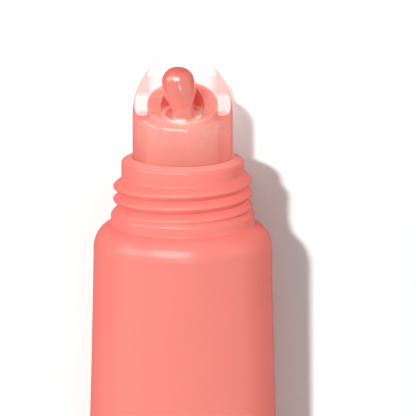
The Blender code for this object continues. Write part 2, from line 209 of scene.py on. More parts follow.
# Colours, as linear red, green and blue
WHITE = (1, 1, 1)
CORAL = ((0.965, 0.234, 0.197), (0.985, 0.246, 0.207))
# Painted light on the collar's top land, and on the cap ahead of it
PAINTED_LIGHT_CORAL = (0.99, 0.35, 0.3)
CLEAR = ((0.97, 0.945, 0.935), (0.985, 0.965, 0.955))
# Painted pink reflection of the balm, on the dome's flanks and along its outline
PAINTED_REFLECTION_PINK = (0.95, 0.43, 0.4)
# Painted shade on the outlet's wall
OUTLET_SHADE_RED = (0.42, 0.035, 0.025)
SHEEN_PINK = (1, 0.6, 0.56)
BORE_BALM = ((0.7, 0.285, 0.245), (0.74, 0.32, 0.28))
BORE_BALM_LOW = (0.67, 0.21, 0.17)
BEAD_BALM = ((0.76, 0.2, 0.155), (0.8, 0.22, 0.17))
# Painted shade at the bead's foot in the outlet
BEAD_FOOT_SHADE = (0.66, 0.19, 0.15)
LIGHT_IN_BALM = (0.8, 0.76, 0.75)
LINER_WHITE = ((0.82, 0.81, 0.785), (0.86, 0.85, 0.83))
FOAM_WHITE = ((0.84, 0.83, 0.8), (0.9, 0.89, 0.87))
FLOOR_BOUNCE = (0.62, 0.24, 0.23)
FLOOR_SEEN = (0.93, 0.99, 0.98)
FLOOR_GLOW = (0.76, 0.76, 0.76)
ROOM_LIGHT = (0.05, 0.135, 0.13)

# Where the clear plastic is painted pink, a painted reflection of the balm: the dome's flanks, but
# for a clear window in each
FLANK_REFLECTION_INNER = 0.0029
FLANK_REFLECTION_OUTER = 0.0037
FLANK_REFLECTION_START = COLLAR_PLACE + 0.0049
FLANK_REFLECTION_FULL = COLLAR_PLACE + 0.0053
FLANK_WINDOW_RISE = 0.0012
FLANK_WINDOW_HALF = 0.0007
FLANK_WINDOW_END = 0.0011

# Where a painted pale pink reflection lies: a tilted band of the dome's skin, along its outline
OUTLINE_REFLECTION_SLOPE = 0.1275
OUTLINE_REFLECTION_SHARE = 0.5
OUTLINE_REFLECTION_INNER = 0.0011
OUTLINE_REFLECTION_OUTER = 0.0024
DOME_SKIN_SHARE = 0.93
DOME_SKIN_FULL_SHARE = 0.97
DOME_FADE_START = 0.0001
DOME_FADE_END = 0.0005

# Where the outlet's wall is painted dark red, as painted shade in the hole
OUTLET_SHADE_START = COLLAR_PLACE + 0.0053
OUTLET_SHADE_FULL = COLLAR_PLACE + 0.006

# Grain of the finishes
NOISE_LOW = 0.3
NOISE_HIGH = 0.7
BALM_ROUGHNESS_DRIFT = 0.06
FOAM_CELL = 0.00018

# Mesh fineness
SIDES = 192
BEAD_SIDES = 64
BEAD_ROWS = 72
BEAD_PATH_STEPS = 24
ROUNDING_STEPS = 5
SMOOTH_ANGLE = math.radians(40)
MERGE_DISTANCE = 0.0000005
BEAD_MERGE_DISTANCE = 0.000003
HALVINGS = 50


def bend(start, corner, end, share):
    """A point on the soft curve from start to end that a corner pulls towards itself."""
    weights = ((1 - share) ** 2, 2 * share * (1 - share), share**2)
    return tuple(sum(w * p[k] for w, p in zip(weights, (start, corner, end))) for k in (0, 1))


def rounded(outline):
    """Depths and radii with the corners that carry a rounding turned into short curves."""
    points = []
    for i, (depth, radius, rounding) in enumerate(outline):
        if not rounding:
            points.append((depth, radius))
            continue
        before, after = outline[i - 1], outline[(i + 1) % len(outline)]
        ends = []
        for other in (before, after):
            reach = math.hypot(other[0] - depth, other[1] - radius)
            share = min(rounding / reach, 0.5)
            ends.append((depth + (other[0] - depth) * share, radius + (other[1] - radius) * share))
        for step in range(ROUNDING_STEPS + 1):
            points.append(bend(ends[0], (depth, radius), ends[1], step / ROUNDING_STEPS))
    return points


def quarter_oval(first_depth, first_radius, last_depth, last_radius, steps):
    """Depths and radii along a quarter oval that starts square to the axis and ends along it."""
    points = []
    for step in range(steps + 1):
        turn = math.pi / 2 * step / steps
        depth = last_depth + (first_depth - last_depth) * math.cos(turn)
        points.append((depth, first_radius + (last_radius - first_radius) * math.sin(turn)))
    return points


def plain(points):
    """Outline points that keep their corners."""
    return [(depth, radius, 0) for depth, radius in points]


def crossing(low, high, is_past):
    """The value between low and high at which a test turns true."""
    for _ in range(HALVINGS):
        middle = (low + high) / 2
        if is_past(middle):
            high = middle
        else:
            low = middle
    return (low + high) / 2


def ring_angles():
    """Angles round a section, once round from the right."""
    return [2 * math.pi * side / SIDES for side in range(SIDES)]


def neck_point(depth, radius, turn):
    """A point at a depth, off the neck axis in the direction of an angle."""
    return (radius * math.cos(turn), COLLAR_PLACE - depth, AXIS_HEIGHT + radius * math.sin(turn))


def with_rows(points, low, high, step):
    """The outline with its long runs between two depths cut into short ones."""
    finer = []
    for here, there in zip(points, points[1:] + points[:1]):
        finer.append(here)
        if low <= min(here[0], there[0]) and max(here[0], there[0]) <= high:
            count = math.ceil(math.dist(here, there) / step)
            finer += [
                tuple(a + (b - a) * k / count for a, b in zip(here, there)) for k in range(1, count)
            ]
    return finer


def in_scene(name, data):
    """A new object at the origin, in the scene."""
    made = bpy.data.objects.new(name, data)
    bpy.context.scene.collection.objects.link(made)
    return made


def piece_from(name, shape):
    """An object at the origin from a bmesh, closed, facing outwards and smooth."""
    bmesh.ops.remove_doubles(shape, verts=shape.verts, dist=MERGE_DISTANCE)
    bmesh.ops.recalc_face_normals(shape, faces=shape.faces)
    mesh = bpy.data.meshes.new(name)
    shape.to_mesh(mesh)
    shape.free()
    mesh.shade_smooth()
    mesh.set_sharp_from_angle(angle=SMOOTH_ANGLE)
    return in_scene(name, mesh)


def turned(name, outline, plane):
    """A piece turned about the neck axis from depths and radii behind a plane."""
    shape = bmesh.new()
    points = [shape.verts.new((radius, plane - depth, AXIS_HEIGHT)) for depth, radius in outline]
    on_axis = outline[0][1] == 0 and outline[-1][1] == 0
    count = len(points) - 1 if on_axis else len(points)
    edges = [shape.edges.new((points[i], points[(i + 1) % len(points)])) for i in range(count)]
    bmesh.ops.spin(
        shape,
        geom=[*points, *edges],
        cent=(0, 0, AXIS_HEIGHT),
        axis=(0, -1, 0),
        angle=2 * math.pi,
        steps=SIDES,
        use_merge=True,
    )
    return piece_from(name, shape)


def lofted(name, rings, closed_round=False):
    """A piece through a list of rings, capped at both ends, or joined last to first."""
    shape = bmesh.new()
    rows = [[shape.verts.new(point) for point in ring] for ring in rings]
    following_rows = rows[1:] + rows[:1] if closed_round else rows[1:]
    for lower, upper in zip(rows, following_rows):
        for side in range(len(lower)):
            after = (side + 1) % len(lower)
            shape.faces.new((lower[side], lower[after], upper[after], upper[side]))
    if not closed_round:
        shape.faces.new(rows[0])
        shape.faces.new(rows[-1])
    return piece_from(name, shape)


class Wiring:
    """A node tree whose nodes, links and sums are written as short calls."""

    def __init__(self, tree):
        self.tree = tree

    def node(self, kind, **settings):
        made = self.tree.nodes.new(kind)
        for key, value in settings.items():
            setattr(made, key, value)
        return made

    def link(self, source, socket):
        """Feed a socket from another one or with a plain value."""
        if isinstance(source, bpy.types.NodeSocket):
            self.tree.links.new(source, socket)
        else:
            socket.default_value = source

    def sum(self, operation, *values):
        """One sum, such as ADD or MAXIMUM, on sockets and plain numbers."""
        node = self.node("ShaderNodeMath", operation=operation)
        for value, socket in zip(values, node.inputs):
            self.link(value, socket)
        return node.outputs[0]

    def product(self, *values):
        """Values times each other."""
        result = values[0]
        for value in values[1:]:
            result = self.sum("MULTIPLY", result, value)
        return result

    def off(self, value, place):
        """How far a value is from a place, on either side."""
        return self.sum("ABSOLUTE", self.sum("SUBTRACT", value, place))

    def squares(self, one, other):
        """The squares of two values, added up."""
        return self.sum("ADD", self.sum("POWER", one, 2), self.sum("POWER", other, 2))

    def split(self, place):
        """The three distances of a place."""
        parts = self.node("ShaderNodeSeparateXYZ")
        self.link(place, parts.inputs[0])
        return parts.outputs

    def blend(self, share, one, other):
        """One colour with a share of another, each as numbers or from a socket."""
        node = self.node("ShaderNodeMix", data_type="RGBA")
        self.link(share, node.inputs["Factor"])
        for colour, name in ((one, "A"), (other, "B")):
            self.link((*colour, 1) if isinstance(colour, tuple) else colour, node.inputs[name])
        return node.outputs["Result"]

    def most_of(self, shares):
        """The greatest of some kinds of ray, each counted by its share."""
        path = self.node("ShaderNodeLightPath")
        greatest = 0
        for kind, share in shares.items():
            greatest = self.sum("MAXIMUM", greatest, self.product(path.outputs[kind], share))
        return greatest


class Rule(Wiring):
    """A geometry tree with named inputs."""

    def __init__(self, name, sizes):
        super().__init__(bpy.data.node_groups.new(name, "GeometryNodeTree"))
        face = self.tree.interface
        face.new_socket("Piece", in_out="INPUT", socket_type="NodeSocketGeometry")
        for size in sizes:
            face.new_socket(size, in_out="INPUT", socket_type="NodeSocketFloat")
        face.new_socket("Finish", in_out="INPUT", socket_type="NodeSocketMaterial")
        face.new_socket("Piece", in_out="OUTPUT", socket_type="NodeSocketGeometry")
        self.given = self.node("NodeGroupInput").outputs

    def distances(self):
        """Distances of each point along the part's three axes."""
        return self.split(self.node("GeometryNodeInputPosition").outputs[0])

    def joined(self, across, along, up):
        """A place or a shift from its three distances."""
        node = self.node("ShaderNodeCombineXYZ")
        for source, socket in zip((across, along, up), node.inputs):
            self.link(source, socket)
        return node.outputs[0]

    def change(self, kind, shape, **values):
        """A shape after one geometry node, with that node's other inputs by name."""
        node = self.node(kind)
        self.link(shape, node.inputs[0])
        for name, value in values.items():
            self.link(value, node.inputs[name.replace("_", " ")])
        return node.outputs[0]

    def step_up(self, value, low, high):
        """Nought below low, one above high, and a smooth climb between them."""
        node = self.node("ShaderNodeMapRange", interpolation_type="SMOOTHSTEP")
        for source, socket in zip((value, low, high), node.inputs):
            self.link(source, socket)
        return node.outputs[0]

    def hand_out(self, shape):
        """Make the result real, give it its finish and hand it out."""
        real = self.change("GeometryNodeRealizeInstances", shape)
        coated = self.change("GeometryNodeSetMaterial", real, Material=self.given["Finish"])
        self.link(coated, self.node("NodeGroupOutput").inputs[0])
        return self.tree


def shaped(piece, tree, finish, values):
    """The piece with a rule's result as its plain mesh."""
    step = piece.modifiers.new(tree.name, "NODES")
    step.node_group = tree
    inputs = [item for item in tree.interface.items_tree if item.in_out == "INPUT"]
    sockets = {item.name: item.identifier for item in inputs}
    for name, value in {**values, "Finish": finish}.items():
        step[sockets[name]] = value
    whole = piece.evaluated_get(bpy.context.evaluated_depsgraph_get())
    mesh = bpy.data.meshes.new_from_object(whole)
    mesh.name = name = piece.name
    bpy.data.objects.remove(piece)
    return in_scene(name, mesh)


def thread_rule():
    """Raises a helical ridge with a rounded crest on a turned neck, or inside a turned liner."""
    rule = Rule(
        "screw_thread",
        [
            "Axis height",
            "Plane",
            "Root radius",
            "Facing",
            "Height",
            "Lead",
            "Start depth",
            "First turn",
            "Last turn",
            "Lead-in",
            "Fade",
            "Flank slope",
            "Crest round",
            "Fillet",
        ],
    )
    given, total, times = rule.given, rule.sum, rule.product
    across, along, up = rule.distances()
    rise = total("SUBTRACT", up, given["Axis height"])
    radius = total("SQRT", total("ADD", times(across, across), times(rise, rise)))
    turn = total("DIVIDE", total("ARCTAN2", rise, across), 2 * math.pi)
    depth = total("SUBTRACT", total("SUBTRACT", given["Plane"], along), given["Start depth"])
    nearest = total("ROUND", total("SUBTRACT", total("DIVIDE", depth, given["Lead"]), turn))

    crest, fillet, facing = given["Crest round"], given["Fillet"], given["Facing"]
    first_full = total("ADD", given["First turn"], given["Lead-in"])
    last_trace = total("ADD", given["Last turn"], given["Fade"])
    clear_below = times(fillet, 2)
    full_height = total("ADD", given["Height"], clear_below)
    tallest = times(fillet, -1)
    for neighbour in (-1, 0, 1):
        count = total("ADD", total("ADD", nearest, neighbour), turn)
        started = rule.step_up(count, given["First turn"], first_full)
        ended = rule.step_up(count, given["Last turn"], last_trace)
        present = times(started, total("SUBTRACT", 1, ended))
        offset = total("SUBTRACT", depth, times(count, given["Lead"]))
        from_crest = total("SQRT", total("ADD", times(offset, offset), times(crest, crest)))
        fall = times(total("SUBTRACT", from_crest, crest), given["Flank slope"])
        raised = total("SUBTRACT", times(full_height, present), clear_below)
        tallest = total("SMOOTH_MAX", tallest, total("SUBTRACT", raised, fall), fillet)

    outwards = times(radius, facing)
    root = times(given["Root radius"], facing)
    surface = total("SMOOTH_MAX", outwards, total("ADD", root, tallest), fillet)
    growth = total("DIVIDE", times(surface, facing), radius)
    height = total("ADD", given["Axis height"], times(rise, growth))
    threaded = rule.change(
        "GeometryNodeSetPosition",
        given["Piece"],
        Selection=total("GREATER_THAN", outwards, total("SUBTRACT", root, fillet)),
        Position=rule.joined(times(across, growth), along, height),
    )
    return rule.hand_out(threaded)


def crimp_rule():
    """Presses a row of fine grooves into both faces of a flat seal."""
    rule = Rule("seal_grooves", ["Middle height", "Start place", "Run", "Pitch", "Groove depth"])
    given, total, times = rule.given, rule.sum, rule.product
    _, forwards, up = rule.distances()
    along = total("SUBTRACT", given["Start place"], forwards)
    rise = total("SUBTRACT", up, given["Middle height"])
    quarter, half = times(given["Pitch"], 1 / 4), times(given["Pitch"], 1 / 2)
    off_groove = total("PINGPONG", total("SUBTRACT", along, quarter), half)
    pressed = total("SUBTRACT", 1, rule.step_up(off_groove, 0, quarter))
    within = times(total("GREATER_THAN", along, 0), total("LESS_THAN", along, given["Run"]))
    inwards = times(total("SIGN", rise), -1)
    shift = times(pressed, within, given["Groove depth"], inwards)
    grooved = rule.change("GeometryNodeSetPosition", given["Piece"], Offset=rule.joined(0, 0, shift))
    return rule.hand_out(grooved)


def bead_rule():
    """Sweeps a round section along the balm's path, swelling and closing as it goes."""
    rule = Rule("pressed_out_bead", ["Rows", "Sides", "Foot", "Waist", "Bulb"])
    given, total, times = rule.given, rule.sum, rule.product
    share = rule.node("GeometryNodeSplineParameter").outputs["Factor"]
    low_down = total("MAXIMUM", 0, total("SUBTRACT", 1, total("DIVIDE", share, BEAD_FOOT_END)))
    from_foot = total("POWER", low_down, BEAD_FOOT_CURVE)
    to_bulb = rule.step_up(share, BEAD_SWELL_START, BEAD_SWELL_END)
    foot_more = total("SUBTRACT", given["Foot"], given["Waist"])
    bulb_more = total("SUBTRACT", given["Bulb"], given["Waist"])
    body = total("ADD", given["Waist"], times(from_foot, foot_more))
    body = total("ADD", body, times(to_bulb, bulb_more))
    past_start = total("SUBTRACT", share, BEAD_CLOSING_START)
    near_end = total("MAXIMUM", 0, total("DIVIDE", past_start, 1 - BEAD_CLOSING_START))
    left_open = total("SUBTRACT", 1, total("POWER", near_end, BEAD_CLOSING_CURVE))
    closing = total("SQRT", total("MAXIMUM", 0, left_open))

    section = rule.node("GeometryNodeCurvePrimitiveCircle")
    rule.link(given["Sides"], section.inputs["Resolution"])
    rule.link(1, section.inputs["Radius"])
    even = rule.change("GeometryNodeResampleCurve", given["Piece"], Count=given["Rows"])
    skin = rule.change(
        "GeometryNodeCurveToMesh",
        even,
        Profile_Curve=section.outputs[0],
        Scale=times(body, closing),
        Fill_Caps=True,
    )
    closed = rule.change("GeometryNodeMergeByDistance", skin, Distance=BEAD_MERGE_DISTANCE)
    return rule.hand_out(rule.change("GeometryNodeSetShadeSmooth", closed))


def sleeve_section(along):
    """Half width and half depth of the sleeve at a distance from its top, at constant girth."""
    flare = SEAL_HALF_WIDTH - SLEEVE_RADIUS - SLEEVE_SPREAD_SLOPE * SLEEVE_LENGTH
    wide = SLEEVE_RADIUS + SLEEVE_SPREAD_SLOPE * along + flare * (along / SLEEVE_LENGTH) ** 3

    def is_past(deep):
        # The girth of an oval over pi is close to this sum
        root = math.sqrt((3 * wide + deep) * (wide + 3 * deep))
        return 3 * (wide + deep) - root > 2 * SLEEVE_RADIUS

    return wide, max(crossing(0, SLEEVE_RADIUS, is_past), SEAL_THICKNESS / 2)


def sleeve_ring(depth, wide, deep, middle):
    """Points of an oval section whose middle is at a height above the table."""
    place = COLLAR_PLACE - depth
    return [(wide * math.cos(t), place, middle + deep * math.sin(t)) for t in ring_angles()]


def seal_ring(depth, wide, half_thickness, edge):
    """Points of a flat section with rounded edges, spread as an oval's are."""
    points = []
    for side, turn in enumerate(ring_angles()):
        across = wide * math.cos(turn)
        room = max(0, edge - (wide - abs(across)))
        height = half_thickness - edge + math.sqrt(max(0, edge**2 - room**2))
        if side % (SIDES // 2) == 0:  # the two points at the sides
            height = 0
        height = math.copysign(height, math.sin(turn))
        points.append((across, COLLAR_PLACE - depth, SEAL_THICKNESS / 2 + height))
    return points


def make_sleeve(finish):
    """The soft body, lapped over the shoulder's edge and crimped shut at its tail."""
    even_shares = [row / SLEEVE_ROWS for row in range(2, SLEEVE_ROWS)]
    shares = [*SLEEVE_TOP_SHARES, *even_shares, *SLEEVE_TAIL_SHARES]
    cavity_end = 1 - SEAL_RUN_IN / SLEEVE_LENGTH
    inner = []
    for share in [s for s in shares if s < cavity_end] + [cavity_end]:
        wide, deep = sleeve_section(SLEEVE_LENGTH * share)
        deep_inside = max(deep - SLEEVE_WALL, CAVITY_END_HALF_DEPTH)
        depth = SLEEVE_TOP + SLEEVE_LENGTH * share
        inner.append(sleeve_ring(depth, wide - SLEEVE_WALL, deep_inside, deep))
    lip = []
    for overlap_share, thickness_share in LIP_OVERLAP_AND_THICKNESS_SHARES:
        overlap = LIP_OVERLAP * overlap_share
        back = overlap / (SHOULDER_END - SHOULDER_TOP)
        on_shoulder = (SLEEVE_RADIUS - SHOULDER_TOP_RADIUS) * math.sqrt(1 - back**2)
        radius = SHOULDER_TOP_RADIUS + on_shoulder + LIP_THICKNESS * thickness_share
        lip.append(sleeve_ring(SHOULDER_END - overlap, radius, radius, AXIS_HEIGHT))
    outer = []
    for share in shares[:-1]:
        wide, deep = sleeve_section(SLEEVE_LENGTH * share)
        outer.append(sleeve_ring(SLEEVE_TOP + SLEEVE_LENGTH * share, wide, deep, deep))

    full, wide, edge = SEAL_THICKNESS / 2, SEAL_HALF_WIDTH, SEAL_EDGE_ROUND
    seal_top = SLEEVE_TOP + SLEEVE_LENGTH
    seal = []
    for row in range(SEAL_ROWS + 1):
        depth = seal_top + (SEAL_LENGTH - edge) * row / SEAL_ROWS
        seal.append(seal_ring(depth, wide, full, edge))
    for share in SEAL_END_SHARES:
        swing = math.pi / 2 * share
        depth = seal_top + SEAL_LENGTH - edge + edge * math.sin(swing)
        inset = edge * (1 - math.cos(swing))
        end_round = max(edge - inset, SEAL_LEAST_ROUND)
        seal.append(seal_ring(depth, wide - inset, full - inset, end_round))
    sleeve = lofted("tube_sleeve_skin", inner[::-1] + lip + outer + seal)
    run = SEAL_LENGTH - 2 * SEAL_MARGIN
    values = {
        "Middle height": full,
        "Start place": COLLAR_PLACE - seal_top - SEAL_MARGIN,
        "Run": run,
        "Pitch": run / SEAL_GROOVES,
        "Groove depth": SEAL_GROOVE_DEPTH,
    }
    return shaped(sleeve, crimp_rule(), finish, values)


def threaded(name, outline, plane, rule, finish, values):
    """A turned piece with the neck's thread lead, from depths and radii behind a plane."""
    shared = {"Axis height": AXIS_HEIGHT, "Plane": plane, "Lead": THREAD_LEAD, "Fade": THREAD_FADE}
    return shaped(turned(name, outline, plane), rule, finish, {**shared, **values})


def make_head(rule, finish):
    """Shoulder, bead ring and threaded neck in one moulding."""
    shoulder = quarter_oval(
        SHOULDER_TOP, SHOULDER_TOP_RADIUS, SHOULDER_END, SLEEVE_RADIUS, SHOULDER_STEPS
    )
    beyond_ring = [point for point in shoulder if point[1] > RING_RADIUS + RING_FOOT_ROUND]
    funnel = quarter_oval(
        NECK_LENGTH + SHOULDER_WALL,
        NECK_BORE_RADIUS,
        SHOULDER_END + SHOULDER_WALL,
        SKIRT_BORE_RADIUS,
        FUNNEL_STEPS,
    )
    outline = rounded(
        [
            (-COLLAR_LAND_RISE, NECK_BORE_RADIUS, COLLAR_ROUND / 2),
            (0, COLLAR_RADIUS, COLLAR_ROUND),
            (RING_DEPTH - RING_CONE, COLLAR_RADIUS, 0),
            (RING_DEPTH, RING_RADIUS, RING_ROUND),
            (SHOULDER_TOP, RING_RADIUS, RING_FOOT_ROUND),
            *plain(beyond_ring),
            (SHOULDER_END, SKIRT_RADIUS, 0),
            (SKIRT_END, SKIRT_RADIUS, 0),
            (SKIRT_END, SKIRT_BORE_RADIUS, 0),
            *plain(funnel[::-1]),
        ]
    )
    outline = with_rows(outline, COLLAR_ROUND / 2, RING_DEPTH, THREAD_ROW_STEP)
    last_turn = (RING_DEPTH + THREAD_RUN_ON - THREAD_START_DEPTH) / THREAD_LEAD
    values = {
        "Root radius": COLLAR_RADIUS,
        "Facing": OUTWARDS,
        "Height": THREAD_HEIGHT,
        "Start depth": THREAD_START_DEPTH,
        "First turn": THREAD_FIRST_TURN,
        "Last turn": last_turn - THREAD_FADE,
        "Lead-in": THREAD_LEAD_IN,
        "Flank slope": THREAD_FLANK_SLOPE,
        "Crest round": THREAD_CREST_ROUND,
        "Fillet": THREAD_VALLEY_FILLET,
    }
    return threaded("tube_head_skin", outline, COLLAR_PLACE, rule, finish, values)


def face_depth(rise):
    """Depth of the applicator's scooped face, at a height above the axis."""
    middle_rise = TIP_RADIUS + FACE_RADIUS * math.sin(FACE_RIM_TILT)
    middle_depth = -TIP_STRAIGHT - FACE_RADIUS * math.cos(FACE_RIM_TILT)
    return middle_depth + math.sqrt(max(0, FACE_RADIUS**2 - (middle_rise - rise) ** 2))


def roof_depth(rise):
    """Depth of the slanted roof of the applicator's bore, at a height above the axis."""
    return ROOF_FRONT_DEPTH - (TIP_BORE_RADIUS - rise) * math.tan(ROOF_TILT)


def dome_depth(radius):
    """Depth of the applicator's dome, at a distance from the axis."""
    return -TIP_STRAIGHT - TIP_DOME_HEIGHT * math.sqrt(max(0, 1 - (radius / TIP_RADIUS) ** 2))


def outlet_reach(sine, cosine):
    """Distance from the axis to the outlet's edge, in the direction of that sine and cosine."""
    return OUTLET_RISE * sine + math.sqrt(OUTLET_RADIUS**2 - (OUTLET_RISE * cosine) ** 2)


def rim_reach(sine):
    """Distance from the axis to where the scooped face meets the dome."""

    def is_past(radius):
        return dome_depth(radius) > face_depth(radius * sine)

    return crossing(RIM_NEAREST, TIP_RADIUS, is_past)


def spread(curve, count):
    """Points spread evenly along a fine chain of points."""
    lengths = [0]
    for a, b in zip(curve, curve[1:]):
        lengths.append(lengths[-1] + math.dist(a, b))
    result, k = [], 0
    for step in range(count + 1):
        wanted = lengths[-1] * step / count
        while k < len(curve) - 2 and lengths[k + 1] < wanted:
            k += 1
        span = lengths[k + 1] - lengths[k]
        share = (wanted - lengths[k]) / span if span else 0
        result.append(tuple(a + (b - a) * min(1, share) for a, b in zip(curve[k], curve[k + 1])))
    return result


def cut_back(curve, distance):
    """A chain of points without its last stretch of a given length."""
    left = distance
    points = list(curve)
    while len(points) > 2 and math.dist(points[-1], points[-2]) < left:
        left -= math.dist(points[-1], points[-2])
        points.pop()
    last, before = points[-1], points[-2]
    share = min(1, left / math.dist(last, before))
    points[-1] = tuple(a + (b - a) * share for a, b in zip(last, before))
    return points


def eased(start, corner, end, steps):
    """Points of a soft corner between two ends."""
    return [bend(start, corner, end, step / steps) for step in range(1, steps)]


def tip_meridian(turn):
    """Depths and radii round the applicator's wall in the half plane at one angle."""
    sine, cosine = math.sin(turn), math.cos(turn)
    rim, edge = rim_reach(sine), outlet_reach(sine, cosine)
    towards_front = (1 + sine) / 2
    lip = FACE_LIP_BACK + (FACE_LIP_FRONT - FACE_LIP_BACK) * towards_front**FACE_LIP_CURVE
    fine_shares = [step / TIP_FINE_STEPS for step in range(TIP_FINE_STEPS + 1)]

    square, last_swing = math.pi / 2, math.asin(min(1, rim / TIP_RADIUS))
    swings = [square + (last_swing - square) * share for share in fine_shares]
    dome = [(dome_depth(TIP_RADIUS * math.sin(s)), TIP_RADIUS * math.sin(s)) for s in swings]
    outside = cut_back([(0, TIP_RADIUS), *dome], lip)
    radii = [rim + (edge - rim) * share for share in fine_shares]
    face = [(face_depth(r * sine), r) for r in radii]
    face = cut_back(cut_back(face[::-1], lip)[::-1], OUTLET_ROUND)
    foot = roof_depth(edge * sine)
    wall = [(face_depth(edge * sine), edge), (foot, edge)]
    wall = cut_back(cut_back(wall[::-1], OUTLET_ROUND)[::-1], OUTLET_ROUND / 2)

    rim_corner = (face_depth(rim * sine), rim)
    edge_corner = (face_depth(edge * sine), edge)
    bore = TIP_BORE_RADIUS + WET_OVERLAP
    return [
        (TIP_SKIRT_LENGTH, TIP_RADIUS),
        (TIP_SKIRT_LENGTH / 2, TIP_RADIUS),
        *spread(outside, DOME_STEPS),
        *eased(outside[-1], rim_corner, face[0], FACE_LIP_STEPS),
        *spread(face, FACE_STEPS),
        *eased(face[-1], edge_corner, wall[0], OUTLET_EDGE_STEPS),
        *spread(wall, OUTLET_STEPS),
        *spread([(foot, edge), (roof_depth(bore * sine), bore)], ROOF_STEPS),
        (TIP_SKIRT_LENGTH / 2, bore),
        (TIP_SKIRT_LENGTH, bore),
    ]


def make_tip():
    """The clear applicator, as one closed wall round its bore and outlet."""
    walls = [[neck_point(*spot, turn) for spot in tip_meridian(turn)] for turn in ring_angles()]
    return lofted("applicator_clear", list(zip(*walls)), closed_round=True)


def make_core():
    """The balm that fills the bore and wets its wall and roof."""
    radius = TIP_BORE_RADIUS + 2 * WET_OVERLAP
    rings = []
    for row in range(CORE_ROWS + 1):
        ring = []
        for turn in ring_angles():
            top = roof_depth(radius * math.sin(turn)) - WET_OVERLAP
            depth = CORE_FOOT_DEPTH + (top - CORE_FOOT_DEPTH) * row / CORE_ROWS
            ring.append(neck_point(depth, radius, turn))
        rings.append(ring)
    return lofted("balm_core", rings)


def make_bead(finish):
    """The balm pressed out of the outlet: a foot in the hole, a waist and a leaning bulb."""
    path = bpy.data.curves.new("balm_bead", "CURVE")
    path.dimensions = "3D"
    line = path.splines.new("BEZIER")
    knots = (
        (BEAD_FOOT_PLACE, BEAD_FOOT_PULL),
        (BEAD_WAIST_PLACE, BEAD_WAIST_PULL),
        (BEAD_TOP_PLACE, BEAD_TOP_PULL),
    )
    line.bezier_points.add(len(knots) - 1)
    for point, ((across, depth, rise), pull) in zip(line.bezier_points, knots):
        point.co = (across, COLLAR_PLACE - depth, AXIS_HEIGHT + OUTLET_RISE + rise)
        point.handle_left = point.co - Vector(pull)
        point.handle_right = point.co + Vector(pull)
    line.resolution_u = BEAD_PATH_STEPS
    values = {
        "Rows": BEAD_ROWS,
        "Sides": BEAD_SIDES,
        "Foot": BEAD_FOOT_RADIUS,
        "Waist": BEAD_WAIST_RADIUS,
        "Bulb": BEAD_RADIUS,
    }
    return shaped(in_scene("balm_bead", path), bead_rule(), finish, values)


def make_cap_shell():
    """The smooth outer cap, closed at its far end."""
    outline = rounded(
        [
            (CAP_CLOSED_END, 0, 0),
            (CAP_CLOSED_END, CAP_RADIUS, CAP_EDGE_ROUND),
            (CAP_MOUTH, CAP_RADIUS, CAP_MOUTH_ROUND),
            (CAP_MOUTH, SHELL_BORE_RADIUS, CAP_MOUTH_ROUND),
            (CAP_CEILING, SHELL_BORE_RADIUS, CAP_EDGE_ROUND),
            (CAP_CEILING, 0, 0),
        ]
    )
    return turned("cap_shell_skin", outline, CAP_PLACE)


def make_cap_liner(rule, finish):
    """The threaded sleeve inside the cap, with its web."""
    outline = rounded(
        [
            (LINER_MOUTH, LINER_ROOT_RADIUS, CAP_MOUTH_ROUND),
            (LINER_MOUTH, LINER_RADIUS, CAP_MOUTH_ROUND),
            (LINER_WEB_DEPTH - LINER_WEB, LINER_RADIUS, CAP_MOUTH_ROUND),
            (LINER_WEB_DEPTH - LINER_WEB, GASKET_BORE_RADIUS, CAP_MOUTH_ROUND),
            (LINER_WEB_DEPTH, GASKET_BORE_RADIUS, CAP_MOUTH_ROUND),
            (LINER_WEB_DEPTH, LINER_ROOT_RADIUS, 0),
        ]
    )
    outline = with_rows(outline, LINER_WEB_DEPTH, LINER_MOUTH, THREAD_ROW_STEP)
    values = {
        "Root radius": LINER_ROOT_RADIUS,
        "Facing": INWARDS,
        "Height": LINER_THREAD_HEIGHT,
        "Start depth": THREAD_START_DEPTH + THREAD_LEAD / 2,
        "First turn": LINER_THREAD_END - LINER_THREAD_TURNS,
        "Last turn": LINER_THREAD_END - THREAD_FADE,
        "Lead-in": THREAD_FADE,
        "Flank slope": LINER_FLANK_SLOPE,
        "Crest round": THREAD_CREST_ROUND / 2,
        "Fillet": THREAD_VALLEY_FILLET / 2,
    }
    return threaded("cap_liner_skin", outline, CAP_PLACE, rule, finish, values)


def make_gasket():
    """The soft ring that seals the cap on the collar's top."""
    top = GASKET_SEAT - GASKET_THICKNESS
    outline = rounded(
        [
            (GASKET_SEAT, GASKET_BORE_RADIUS, GASKET_EDGE_ROUND),
            (GASKET_SEAT, GASKET_RADIUS, GASKET_EDGE_ROUND),
            (top, GASKET_RADIUS, GASKET_EDGE_ROUND),
            (top, GASKET_BORE_RADIUS, GASKET_EDGE_ROUND),
        ]
    )
    return turned("cap_gasket_ring", outline, CAP_PLACE)


